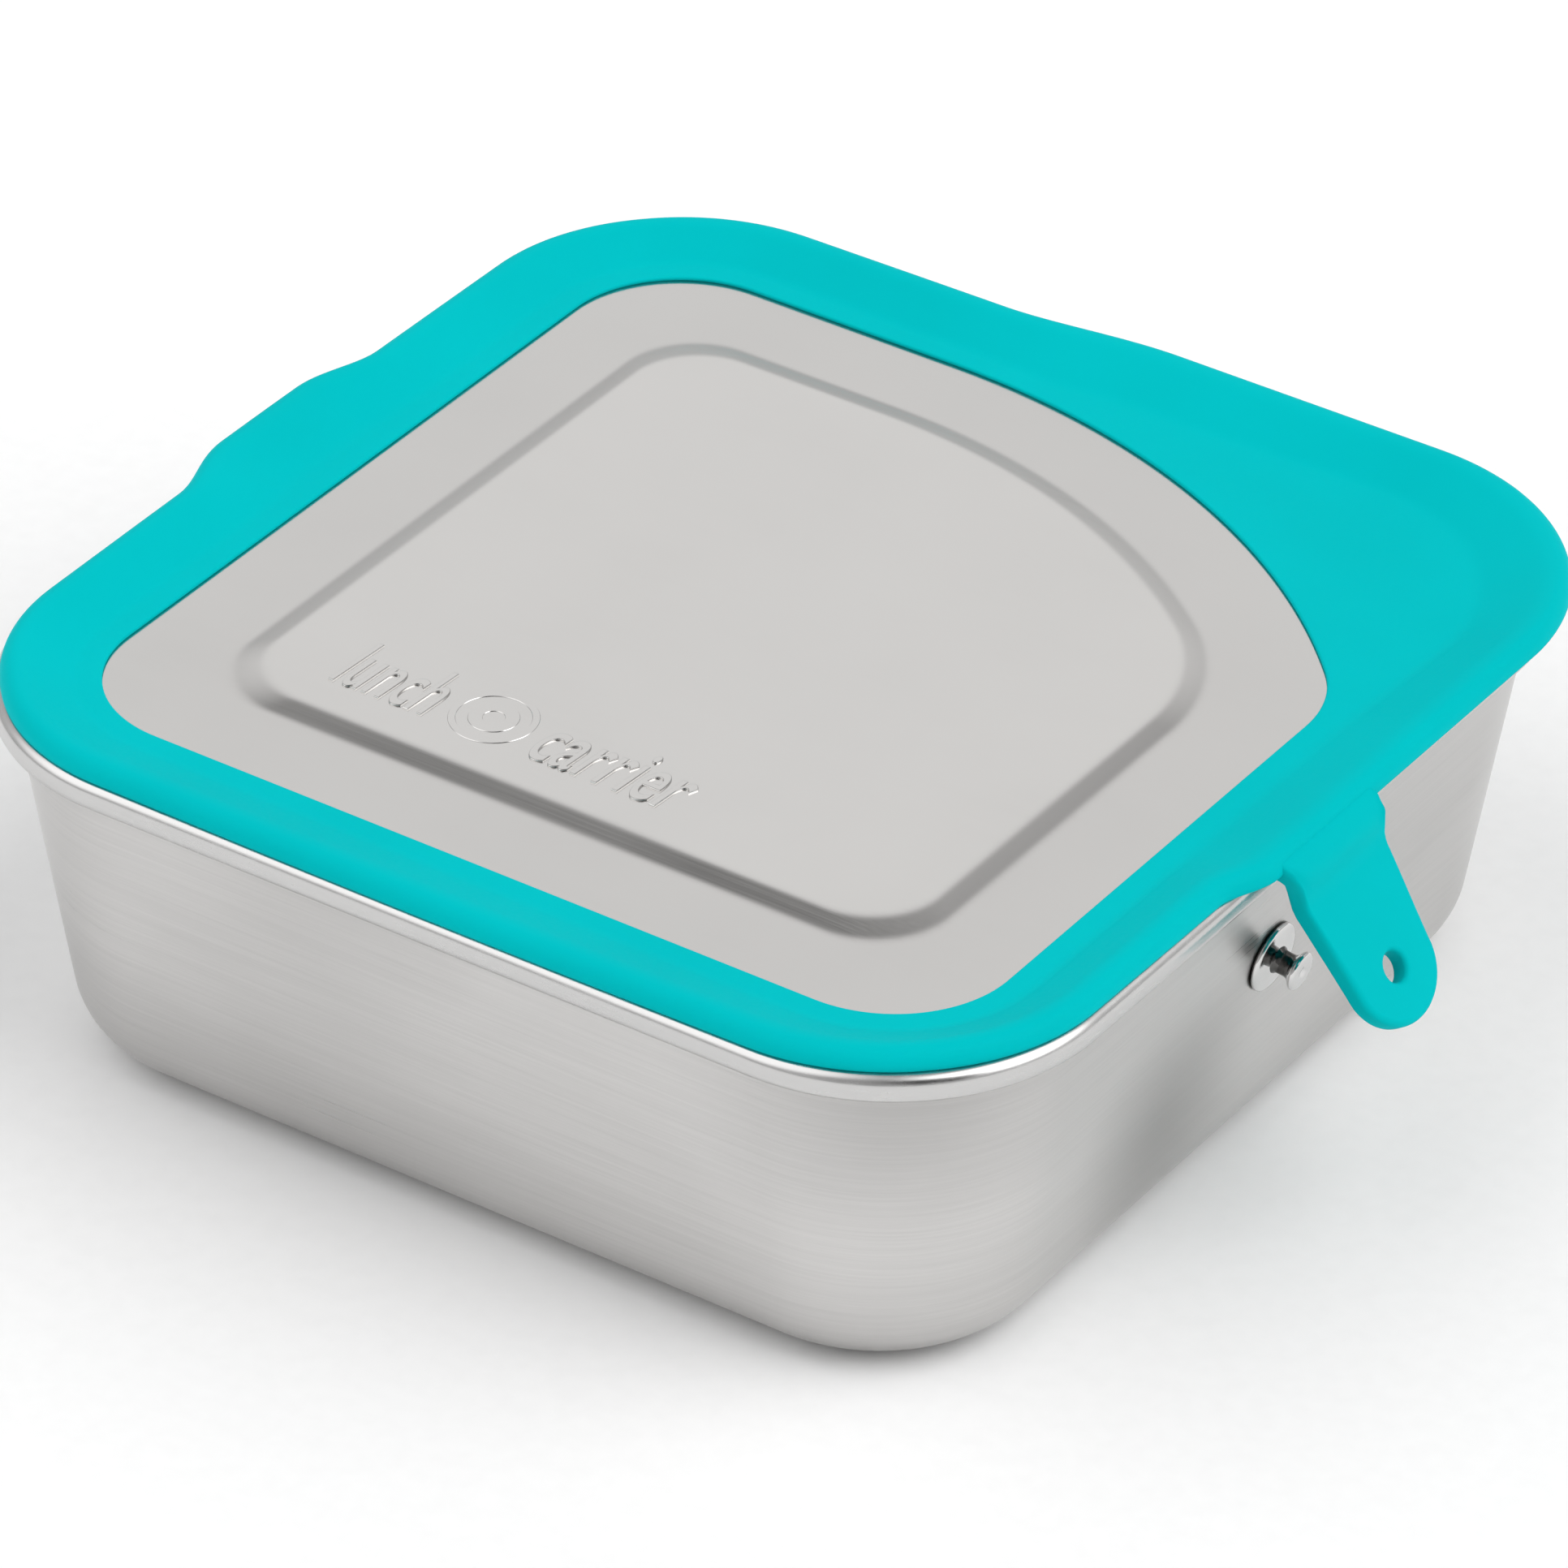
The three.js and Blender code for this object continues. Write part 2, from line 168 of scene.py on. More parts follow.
# ---- plan outlines ----
def arc(cx, cy, r, start, end, steps=64):
    a = np.radians(np.linspace(start, end, steps))
    return np.c_[cx + r * np.cos(a), cy + r * np.sin(a)]


def rounded_square(half, radius):
    c = half - radius
    corners = [arc(c, c, radius, 0, 90), arc(-c, c, radius, 90, 180)]
    corners += [arc(-c, -c, radius, 180, 270), arc(c, -c, radius, 270, 360)]
    return np.vstack(corners)


def window_outline(inset, corner=None, blend=None):
    """Three round corners, and a large arc tangent to the +Y edge in place of the fourth."""
    corner = WINDOW_CORNER - inset if corner is None else corner
    blend = CUT_BLEND - inset if blend is None else blend
    hx, hy = WINDOW_X - inset, WINDOW_Y - inset
    cx, cy = CUT_CENTRE
    big = hy - cy
    bx = hx - blend
    by = cy + math.sqrt((big - blend) ** 2 - (bx - cx) ** 2)
    meet = math.degrees(math.atan2(by - cy, bx - cx))
    parts = [
        arc(bx, by, blend, 0, meet),
        arc(cx, cy, big, meet, 90, 120),
        arc(-hx + corner, hy - corner, corner, 90, 180),
        arc(-hx + corner, -hy + corner, corner, 180, 270),
        arc(hx - corner, -hy + corner, corner, 270, 360),
    ]
    return np.vstack(parts) + np.array(WINDOW_SHIFT)


def radii(outline, angles, centre=(0.0, 0.0)):
    """Distance from centre to a closed outline in each direction."""
    p = outline - np.array(centre)
    q = np.roll(p, -1, axis=0)
    e = q - p
    d = np.c_[np.cos(angles), np.sin(angles)]
    cross = d[:, :1] * e[None, :, 1] - d[:, 1:] * e[None, :, 0]
    safe = np.where(np.abs(cross) < 1e-9, 1.0, cross)
    along = (p[:, 0] * e[:, 1] - p[:, 1] * e[:, 0])[None] / safe
    part = (p[None, :, 0] * d[:, 1:] - p[None, :, 1] * d[:, :1]) / safe
    hit = (np.abs(cross) >= 1e-9) & (part > -1e-6) & (part < 1 + 1e-6)
    return np.where(hit, along, 0).max(axis=1)


DIRECTIONS = np.radians(np.arange(0, 360, 0.6) + 0.01)


def lid_radii(inset):
    """The lid's outer edge moved inward by inset: bowed sides, finger tab and wide corner lip."""
    body = radii(rounded_square(LID_HALF - inset, LID_RADIUS - inset), DIRECTIONS)
    lip = radii(rounded_square(LIP_HALF - inset, LIP_RADIUS - inset), DIRECTIONS)
    dx, dy = np.cos(DIRECTIONS), np.sin(DIRECTIONS)
    x, y = body * dx / LID_HALF, body * dy / LID_HALF
    r = body + LID_BOW * np.maximum(np.maximum(1 - x * x, 1 - y * y), 0)
    tab = smooth((TAB_FOOT - np.abs(r * dy)) / (TAB_FOOT - TAB_FLAT))
    r = r + np.where(dx < 0, TAB_REACH * tab, 0)
    right = (dx > 0) & (np.abs(dx) >= np.abs(dy))
    back = ~right & (dy > 0)
    share = np.where(right, smooth((r * dy - LIP_FROM[0]) / LIP_WIDTH[0]), 0)
    share = share + np.where(back, smooth((r * dx - LIP_FROM[1]) / LIP_WIDTH[1]), 0)
    return r + share * (lip - r)


def square_radii(half, radius):
    return radii(rounded_square(half, radius), DIRECTIONS)


def window_radii(*args):
    return radii(window_outline(*args), DIRECTIONS)


def ring(distances, z):
    height = np.broadcast_to(np.asarray(z, float), distances.shape)
    return np.c_[distances * np.cos(DIRECTIONS), distances * np.sin(DIRECTIONS), height]


def arc_points(cx, cz, r, start, end, steps):
    a = np.radians(np.linspace(start, end, steps + 1))
    return list(zip(cx + r * np.cos(a), cz + r * np.sin(a)))


# ---- meshes ----
def make_mesh(name, vertices, faces):
    """Vertices are in millimetres."""
    mesh = bpy.data.meshes.new(name)
    mesh.from_pydata([tuple(v) for v in np.asarray(vertices) * MM], [], faces)
    mesh.validate()
    mesh.polygons.foreach_set("use_smooth", [True] * len(mesh.polygons))
    piece = bpy.data.objects.new(name, mesh)
    bpy.context.scene.collection.objects.link(piece)
    return piece


def loft(name, rings, ends):
    """Quads between rings of equal length. ends is "loop" to join last to first, or "caps"."""
    rings = [np.asarray(r) for r in rings]
    n = len(rings[0])
    vertices = list(np.vstack(rings))
    faces = []
    count = len(rings) if ends == "loop" else len(rings) - 1
    for k in range(count):
        a, b = k * n, (k + 1) % len(rings) * n
        for i in range(n):
            j = (i + 1) % n
            faces.append((a + i, a + j, b + j, b + i))
    if ends == "caps":
        for k, turned in ((0, True), (len(rings) - 1, False)):
            middle = len(vertices)
            vertices.append(rings[k].mean(axis=0))
            for i in range(n):
                a, b = k * n + i, k * n + (i + 1) % n
                faces.append((middle, b, a) if turned else (middle, a, b))
    return make_mesh(name, vertices, faces)


def keep_edges(piece, degrees=35):
    """Shades smoothly except across edges sharper than the given angle."""
    piece.data.set_sharp_from_angle(angle=math.radians(degrees))


# ---- tray ----
def build_tray():
    fillet_centre = BASE_HALF + WALL_SLOPE * FLOOR_FILLET - FLOOR_FILLET / math.cos(LEAN)
    lean_deg = math.degrees(LEAN)
    top_centre = BEAD_TOP - BEAD_RADIUS
    low_centre = BEAD_BOTTOM + BEAD_RADIUS
    curl_x = wall_at(top_centre) - SHEET + BEAD_RADIUS
    inner = BEAD_RADIUS - SHEET
    offset = SHEET / math.cos(LEAN)
    wall_foot, wall_head = FLOOR_FILLET + 2, low_centre - BEAD_CLEARANCE
    section = [(h, 0.0) for h in FLOOR_RINGS]
    section += arc_points(fillet_centre, FLOOR_FILLET, FLOOR_FILLET, -90, -lean_deg, 20)
    section += [(wall_at(z), z) for z in np.linspace(wall_foot, wall_head, 14)]
    bead_start = len(section)
    section += arc_points(curl_x, top_centre, inner, 180, 0, 10)
    section += arc_points(curl_x, low_centre, inner, 0, CURL_END, 8)
    section += arc_points(curl_x, low_centre, BEAD_RADIUS, CURL_END, 0, 16)
    section += arc_points(curl_x, top_centre, BEAD_RADIUS, 0, 180, 26)
    bead_end = len(section)
    section += [(wall_at(z) - offset, z) for z in np.linspace(wall_head, wall_foot, 10)]
    section += arc_points(fillet_centre, FLOOR_FILLET, FLOOR_FILLET - SHEET, -lean_deg, -90, 16)
    section += [(h, SHEET) for h in FLOOR_RINGS[::-1]]
    rings = []
    for half, z in section:
        radius = BASE_RADIUS + RADIUS_GROWTH * z + half - wall_at(z)
        rings.append(ring(square_radii(half, max(radius, LEAST_RADIUS)), z))
    tray = loft("tray_shell", rings, "caps")
    around = len(DIRECTIONS)
    for face in tray.data.polygons[bead_start * around : bead_end * around]:
        face.material_index = 1
    keep_edges(tray, 50)
    return tray


# ---- lid frame ----
def build_frame():
    slot_bottom = PANEL_TOP - SHEET
    underside = slot_bottom - SLOT_LIP

    def plug_ring(inset, level, height=None):
        """A ring inset from the tray's inner wall at a level, drawn there or at another height."""
        half = wall_at(level) - SHEET - TOUCH_GAP
        corner = BASE_RADIUS + RADIUS_GROWTH * level - SHEET
        return ring(square_radii(half - inset, corner - inset), level if height is None else height)

    # the flange's foot and its rounded rim
    rings = [ring(lid_radii(0.45), FLANGE_BOTTOM)]
    rings += [ring(lid_radii(0.12), FLANGE_BOTTOM + 0.12), ring(lid_radii(0), FLANGE_BOTTOM + 0.4)]
    centre = FLANGE_TOP - FLANGE_ROUND
    for x, z in arc_points(0, centre, FLANGE_ROUND, FLANGE_START, 90, 11):
        rings.append(ring(lid_radii(FLANGE_ROUND - x), z))
    # the ramp down to the sill, which never passes the window
    rim = lid_radii(FLANGE_ROUND)
    sill = window_radii(-SILL_WIDTH)
    ramp = np.minimum((rim - sill) / RAMP_WIDTH, 1.0)
    for inset in np.linspace(0.5, RAMP_WIDTH + 0.5, 23):
        drop = ease(inset / RAMP_WIDTH)
        distance = np.maximum(rim - inset * ramp, sill)
        rings.append(ring(distance, FLANGE_TOP - drop * (FLANGE_TOP - SILL_TOP)))
    for outset in (2.2, 1.5, 0.9):
        rings.append(ring(window_radii(-outset), SILL_TOP))
    for x, z in arc_points(SILL_EDGE, SILL_TOP - SILL_EDGE, SILL_EDGE, 90, 250, 9):
        rings.append(ring(window_radii(-x), z))
    # the slot that holds the panel
    lip_bottom = PANEL_TOP - 0.02
    rings += [ring(window_radii(0), lip_bottom), ring(window_radii(-SLOT_DEPTH), lip_bottom)]
    rings += [ring(window_radii(-SLOT_DEPTH), slot_bottom), ring(window_radii(0), slot_bottom)]
    for x, z in arc_points(SLOT_ROUND, underside + SLOT_ROUND, SLOT_ROUND, 180, 270, 4):
        rings.append(ring(window_radii(-x), z))
    # the plug's inner face, its foot, and its outer face with the ribs
    rings.append(plug_ring(6.2, underside - 0.3, underside))
    foot = PLUG_BOTTOM + PLUG_ROUND
    rings += [plug_ring(5.4, underside - 0.9), plug_ring(PLUG_INNER, foot)]
    for x, z in arc_points(0, foot, PLUG_ROUND, 180, 270, 4):
        rings.append(plug_ring(PLUG_INNER - PLUG_ROUND - x, z))
    for x, z in arc_points(0, foot, PLUG_ROUND, 270, 360, 4):
        rings.append(plug_ring(PLUG_OUTER + PLUG_ROUND - x, z))
    for z in RIB_HEIGHTS:
        for step in (-RIB_HALF, -0.4, -0.15, 0.15, 0.4, RIB_HALF):
            rings.append(plug_ring(PLUG_OUTER * smooth(abs(step) / RIB_HALF), z + step))
    rings += [plug_ring(PLUG_OUTER, FLANGE_BOTTOM - 1.0), plug_ring(1.2, FLANGE_BOTTOM)]
    piece = loft("lid_silicone", rings, "loop")
    keep_edges(piece, 60)
    return piece


# ---- lid panel ----
def build_panel():
    bottom = PANEL_TOP - SHEET

    def outline(share):
        """The slope's outline, from its foot at 0 to the raised top at 1."""
        inset = RAISED_INSET + share * RAISED_SLOPE
        corner = RAISED_CORNER[0] + share * (RAISED_CORNER[1] - RAISED_CORNER[0])
        blend = RAISED_BLEND[0] + share * (RAISED_BLEND[1] - RAISED_BLEND[0])
        return window_radii(inset, corner, blend)

    def slope(level, shares):
        return [ring(outline(s), level + RAISED_HEIGHT * ease(s, RAISED_SOFT)) for s in shares]

    steps = np.linspace(0, 1, 17)
    inner = [outline(1) * f for f in (0.75, 0.5, 0.25)]
    rings = [ring(r, bottom + RAISED_HEIGHT) for r in inner[::-1]]
    rings += slope(bottom, steps[::-1])
    rings += [ring(window_radii(6), bottom), ring(window_radii(-PANEL_HIDDEN), bottom)]
    rings += [ring(window_radii(inset), PANEL_TOP) for inset in (-PANEL_HIDDEN, -2, 1, 6, 11)]
    rings += slope(PANEL_TOP, steps)
    rings += [ring(r, PANEL_TOP + RAISED_HEIGHT) for r in inner]
    piece = loft("lid_steel", rings, "caps")
    keep_edges(piece, 50)
    return piece


# ---- raised mark on the panel: two plain words and two rings ----
MARK_HEIGHT = 0.2
MARK_BEVEL = 0.14
MARK_OFFSET = -0.02
MARK_BASE = -44.0
MARK_SIZE = 15.0
MARK_SHEAR = 0.12
MARK_WORDS = [("lunch", -39.6, 14.8), ("carrier", -9.2, 22.6)]  # text, left end, width
RINGS_AT = (-17.2, -39.1)
RINGS = [(5.4, 0.45), (2.4, 0.9)]  # radius, half width
RING_HEIGHT = 0.08
RING_FOOT = -0.05
RING_EDGE = 0.1


def word_mesh(text, left, width):
    curve = bpy.data.curves.new("word", "FONT")
    curve.body = text
    curve.size = MARK_SIZE
    curve.shear = MARK_SHEAR
    curve.extrude = MARK_HEIGHT / 2
    curve.bevel_depth = MARK_BEVEL
    curve.bevel_resolution = 2
    curve.offset = MARK_OFFSET
    maker = bpy.data.objects.new("word", curve)
    bpy.context.scene.collection.objects.link(maker)
    bpy.context.view_layer.update()
    drawn = maker.evaluated_get(bpy.context.evaluated_depsgraph_get())
    mesh = bpy.data.meshes.new_from_object(drawn)
    bpy.data.objects.remove(maker)
    points = np.array([v.co for v in mesh.vertices])
    faces = [tuple(p.vertices) for p in mesh.polygons]
    points[:, 0] = (points[:, 0] - points[:, 0].min()) * width / np.ptp(points[:, 0]) + left
    points[:, 1] += MARK_BASE
    points[:, 2] += RAISED_TOP
    return points, faces


def ring_mesh(radius, half_width, steps=72):
    turn = np.linspace(0, 2 * np.pi, steps, endpoint=False)
    foot = half_width + RING_EDGE
    section = [(-foot, RING_FOOT), (-half_width, RING_HEIGHT)]
    section += [(half_width, RING_HEIGHT), (foot, RING_FOOT)]
    points = []
    for out, height in section:
        x = RINGS_AT[0] + (radius + out) * np.cos(turn)
        y = RINGS_AT[1] + (radius + out) * np.sin(turn)
        points.append(np.c_[x, y, np.full(steps, RAISED_TOP + height)])
    faces = []
    for k in range(len(section) - 1):
        a, b = k * steps, (k + 1) * steps
        for i in range(steps):
            j = (i + 1) % steps
            faces.append((a + i, b + i, b + j, a + j))
    return np.vstack(points), faces


def build_mark():
    parts = [word_mesh(*word) for word in MARK_WORDS] + [ring_mesh(*r) for r in RINGS]
    points, faces, count = [], [], 0
    for part, part_faces in parts:
        points.append(part)
        faces += [tuple(i + count for i in f) for f in part_faces]
        count += len(part)
    piece = make_mesh("panel_mark", np.vstack(points), faces)
    keep_edges(piece, 30)
    return piece


# ---- latch stud ----
# radius and distance from the wall along the stud: flange, neck, flared head, dimple
STUD_FLANGE = [(4.35, 0.05), (4.72, 0.12), (4.85, 0.35), (4.8, 0.6), (4.6, 0.78), (4.2, 0.88)]
STUD_FLANGE += [(3.2, 1.0), (2.2, 1.1)]
STUD_NECK = [(1.9, 1.18), (1.85, 1.35), (1.72, 1.5), (1.6, 1.62), (1.58, 2.4), (1.6, 3.0), (1.75, 3.4)]
STUD_HEAD = [(2.1, 3.8), (2.5, 4.1), (2.65, 4.25), (2.68, 4.45), (2.62, 4.68), (2.4, 4.84)]
STUD_HEAD += [(2.0, 4.9), (1.0, 4.9), (0.75, 4.86), (0.45, 4.66), (0.15, 4.58)]
STUD_PROFILE = STUD_FLANGE + STUD_NECK + STUD_HEAD
NECK_START = len(STUD_FLANGE)
# the bands of the profile painted dark: the flange's foot, painted shadow for the gap under it, and the
# neck, a painted dark reflection
STUD_SHADOWS = [(0, 2), (NECK_START, NECK_START + len(STUD_NECK))]
STUD_STEP = 3.75  # degrees


def build_stud():
    turn = np.radians(np.arange(0, 360, STUD_STEP))
    axis = np.array([math.cos(LEAN), 0, -math.sin(LEAN)])
    side = np.array([0.0, 1.0, 0.0])
    up = np.cross(axis, side)
    foot = np.array([wall_at(STUD_HEIGHT), STRAP_Y, STUD_HEIGHT])
    around = np.cos(turn)[:, None] * side + np.sin(turn)[:, None] * up
    piece = loft("stud_turned", [foot + axis * h + around * r for r, h in STUD_PROFILE], "caps")
    # faces in these bands get the second slot, the painted shade
    for first, last in STUD_SHADOWS:
        for face in piece.data.polygons[first * len(turn) : last * len(turn)]:
            face.material_index = 1
    keep_edges(piece, 45)
    return piece


# ---- lid strap ----
STRAP_LINE = [(79.2, 53.75), (81.2, 53.7), (82.8, 53.35), (83.85, 52.55), (84.35, 51.4)]
STRAP_LINE += [(84.42, 50.3), (84.58, 49.0), (85.15, 47.4)]
STRAIGHT_KNOTS = (1.6, 4, 8, 13, 18, 24, 28, 32)
STRAP_START = 0.4


def strap_line():
    """Mid-thickness line of the strap in the XZ plane: a spline, then straight past the tip."""
    turn = math.radians(STRAP_TURN)
    along = np.array([math.cos(turn), -math.sin(turn)])
    knots = [np.array(p) for p in STRAP_LINE]
    knots += [knots[-1] + along * s for s in STRAIGHT_KNOTS]
    points = []
    for i in range(1, len(knots) - 2):
        p0, p1, p2, p3 = knots[i - 1 : i + 3]
        for t in np.linspace(0, 1, 12, endpoint=False):
            a = 2 * p1 + (p2 - p0) * t
            b = (2 * p0 - 5 * p1 + 4 * p2 - p3) * t * t
            c = (3 * p1 - p0 - 3 * p2 + p3) * t ** 3
            points.append((a + b + c) / 2)
    return np.array(points)


def build_strap():
    line = strap_line()
    step = np.linalg.norm(np.diff(line, axis=0), axis=1)
    reach = np.r_[0, np.cumsum(step)]
    bend = reach[np.linalg.norm(line - np.array(STRAP_LINE[-1]), axis=1).argmin()]
    hole = bend + STRAP_REACH
    direction = np.gradient(line, reach, axis=0)
    direction /= np.linalg.norm(direction, axis=1)[:, None]

    def place(s, y, d):
        """s along the mid line, y across before the root's flare, d outward from the mid line."""
        x = np.interp(s, reach, line[:, 0])
        z = np.interp(s, reach, line[:, 1])
        tx = np.interp(s, reach, direction[:, 0])
        tz = np.interp(s, reach, direction[:, 1])
        size = np.hypot(tx, tz)
        flare = np.where(y < 0, *ROOT_FLARE) * smooth((bend - s - ROOT_START) / ROOT_LENGTH)
        return np.c_[x - d * tz / size, STRAP_Y + y * (1 + flare), z + d * tx / size]

    s = np.linspace(STRAP_START, hole, 60)
    side = np.c_[s, STRAP_HOLE_HALF + STRAP_TAPER * np.clip((hole - s) / STRAP_REACH, 0, 1)]
    tip = arc(0, 0, 1, 90, -90, 60) * [STRAP_TIP, STRAP_HOLE_HALF] + [hole, 0]
    flat = np.vstack([side, tip, (side * [1, -1])[::-1]])[::-1]
    angles = np.radians(np.arange(0, 360, 2.0) + 0.5)
    outer = radii(flat, angles, (hole, 0.0))
    depth = STRAP_THICKNESS / 2

    def flat_ring(r, d):
        return place(hole + r * np.cos(angles), r * np.sin(angles), np.full(len(angles), d))

    def between(share, d):
        low, high = HOLE_RADIUS + HOLE_EDGE, outer - STRAP_EDGE
        return flat_ring(low + (high - low) * share, d)

    def hole_edge(z, start, end):
        points = arc_points(0, z, HOLE_EDGE, start, end, 6)
        return [flat_ring(np.full(len(angles), HOLE_RADIUS + HOLE_EDGE - x), h) for x, h in points]

    def outer_edge(z, start, end):
        points = arc_points(0, z, STRAP_EDGE, start, end, 6)
        return [flat_ring(outer - STRAP_EDGE + x, h) for x, h in points]

    shares = np.linspace(0, 1, 46)
    rings = hole_edge(depth - HOLE_EDGE, 0, 90)
    rings += [between(s, depth) for s in shares[1:-1]]
    rings += outer_edge(depth - STRAP_EDGE, 90, 0)
    rings += outer_edge(-depth + STRAP_EDGE, 0, -90)
    rings += [between(s, -depth) for s in shares[-2:0:-1]]
    rings += hole_edge(-depth + HOLE_EDGE, 270, 360)
    piece = loft("strap_silicone", rings, "loop")
    keep_edges(piece, 60)
    return piece


# ---- materials ----
class Nodes:
    """A small helper to write node trees briefly."""

    def __init__(self, name):
        self.material = bpy.data.materials.new(name)
        self.material.use_nodes = True
        self.tree = self.material.node_tree
        self.shader = self.tree.nodes["Principled BSDF"]

    def add(self, kind, **inputs):
        node = self.tree.nodes.new(kind)
        for key, value in inputs.items():
            if hasattr(node, key):
                setattr(node, key, value)
            else:
                self.set(node, key, value)
        return node

    def set(self, node, key, value):
        socket = node.inputs[key.replace("_", " ")]
        if hasattr(value, "is_output") and value.is_output:
            self.tree.links.new(value, socket)
        else:
            socket.default_value = value

    def stretched(self, scale):
        """Object coordinates scaled per axis."""
        place = self.add("ShaderNodeTexCoord")
        mapping = self.add("ShaderNodeMapping", Vector=place.outputs["Object"], Scale=scale)
        return mapping.outputs[0]

    def noise(self, vector, scale, detail=4.0, roughness=0.5):
        node = self.add("ShaderNodeTexNoise", Vector=vector, Scale=scale, Detail=detail)
        node.inputs["Roughness"].default_value = roughness
        return node.outputs["Fac"]

    def remap(self, value, low, high, to_low, to_high):
        node = self.add("ShaderNodeMapRange", Value=value)
        node.inputs["From Min"].default_value = low
        node.inputs["From Max"].default_value = high
        node.inputs["To Min"].default_value = to_low
        node.inputs["To Max"].default_value = to_high
        return node.outputs[0]

    def mix(self, share, dark, light):
        node = self.add("ShaderNodeMix", data_type="RGBA")
        self.tree.links.new(share, node.inputs[0])
        node.inputs[6].default_value = (*dark, 1)
        node.inputs[7].default_value = (*light, 1)
        return node.outputs[2]

    def scaled(self, colour, share):
        node = self.add("ShaderNodeVectorMath", operation="SCALE")
        self.tree.links.new(colour, node.inputs[0])
        self.tree.links.new(share, node.inputs["Scale"])
        return node.outputs[0]

    def bump(self, height, strength, distance):
        node = self.add("ShaderNodeBump", Height=height, Strength=strength, Distance=distance)
        self.tree.links.new(node.outputs[0], self.shader.inputs["Normal"])


EVEN = (1, 1, 1)


def steel(name, tint, grain, roughness, depth, anisotropic=0.0, tangent=None, contrast=0.03, haze=0.0):
    """Brushed stainless steel. grain is the noise scale per axis: small along the brush lines.

    tangent is the direction in which reflections spread, across the brush lines.
    haze is how much wide soft clouds darken the metal."""
    n = Nodes(name)
    fine = n.noise(n.stretched(grain), 1.0, 6.0, 0.65)
    cloud = n.noise(n.stretched(EVEN), 34.0, 3.0, 0.5)
    dark = [c * (1 - contrast) for c in tint]
    light = [c * (1 + contrast) for c in tint]
    colour = n.mix(n.remap(fine, 0.3, 0.7, 0, 1), dark, light)
    if haze:
        wide = n.noise(n.stretched((1, 1, 1.6)), 15.0, 2.0, 0.5)
        colour = n.scaled(colour, n.remap(wide, 0.38, 0.6, 1 - haze, 1))
    n.set(n.shader, "Base_Color", colour)
    rough = n.add("ShaderNodeMath", operation="ADD")
    n.tree.links.new(n.remap(fine, 0.25, 0.75, roughness - 0.05, roughness + 0.05), rough.inputs[0])
    n.tree.links.new(n.remap(cloud, 0.3, 0.7, -0.02, 0.03), rough.inputs[1])
    n.set(n.shader, "Roughness", rough.outputs[0])
    n.shader.inputs["Metallic"].default_value = 1.0
    n.shader.inputs["Anisotropic"].default_value = anisotropic
    if tangent:
        x, y, z = tangent
        n.set(n.shader, "Tangent", n.add("ShaderNodeCombineXYZ", X=x, Y=y, Z=z).outputs[0])
    n.bump(fine, 0.25, depth)
    return n


def darken(steel_nodes, value, low, high, share):
    """Scales the base colour by share where value is at low, rising to full where it is at high."""
    source = steel_nodes.shader.inputs["Base Color"].links[0].from_socket
    rise = steel_nodes.remap(value, low * MM, high * MM, share, 1)
    rise.node.interpolation_type = "SMOOTHSTEP"
    steel_nodes.set(steel_nodes.shader, "Base_Color", steel_nodes.scaled(source, rise))


def shade_below(steel_nodes, low, high, share):
    """Darkens a steel by share at the height low, fading out up to the height high."""
    place = steel_nodes.add("ShaderNodeTexCoord")
    split = steel_nodes.add("ShaderNodeSeparateXYZ", Vector=place.outputs["Object"])
    darken(steel_nodes, split.outputs["Z"], low, high, share)


def shade_around(steel_nodes, centre, reach, share):
    """Paints a darker spot into a steel's colour: darkens it by share at a point, fading out at the
    given reach.
    """
    place = steel_nodes.add("ShaderNodeTexCoord")
    away = steel_nodes.add("ShaderNodeVectorMath", operation="DISTANCE")
    steel_nodes.tree.links.new(place.outputs["Object"], away.inputs[0])
    away.inputs[1].default_value = [c * MM for c in centre]
    darken(steel_nodes, away.outputs["Value"], 0.0, reach, share)


def silicone(name, colour):
    n = Nodes(name)
    fine = n.noise(n.stretched(EVEN), 1600.0, 3.0, 0.6)
    cloud = n.noise(n.stretched(EVEN), 28.0, 3.0, 0.5)
    dark = [c * 0.97 for c in colour]
    light = [min(c * 1.03, 1) for c in colour]
    n.set(n.shader, "Base_Color", n.mix(n.remap(cloud, 0.3, 0.7, 0, 1), dark, light))
    n.set(n.shader, "Roughness", n.remap(fine, 0.3, 0.7, 0.5, 0.6))
    n.shader.inputs["Specular IOR Level"].default_value = 0.015
    n.shader.inputs["Subsurface Weight"].default_value = 0.08
    n.shader.inputs["Subsurface Scale"].default_value = 0.002
    n.bump(fine, 0.12, 0.00004)
    return n


def dress(piece, looks, body, node=None):
    """Gives a piece its materials and slot, the node it replaces and the body it rides on."""
    for look in looks:
        piece.data.materials.append(look.material)
    if node:
        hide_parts(node)
    if body:
        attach(piece, body)
    return piece


BRUSH_DEPTH = 0.00001
POLISH_DEPTH = 0.000005

WALL_STEEL = steel(
    "wall_steel", (0.65, 0.64, 0.63), (34, 34, 2400), 0.32, BRUSH_DEPTH,
    anisotropic=0.7, tangent=(0, 0, 1), contrast=0.05, haze=0.1,
)
BEAD_STEEL = steel("bead_steel", (0.6, 0.595, 0.59), (260, 260, 2600), 0.25, BRUSH_DEPTH)
TOP_STEEL = steel(
    "panel_steel", (0.645, 0.633, 0.62), (40, 4200, 4200), 0.19, 0.000004,
    anisotropic=0.25, tangent=(0, 1, 0), contrast=0.015,
)
STUD_STEEL = steel("stud_steel", (0.7, 0.695, 0.69), (3000, 3000, 3000), 0.13, POLISH_DEPTH)
# painted shade for the stud: near-black steel on its flange's foot and neck, standing in for shadow and
# dark reflections
STUD_PAINTED_SHADE = steel(
    "stud_painted_shade_steel", (0.1, 0.098, 0.095), (3000, 3000, 3000), 0.16, POLISH_DEPTH,
)
TEAL = silicone("teal_silicone", (0.0, 0.5, 0.528))
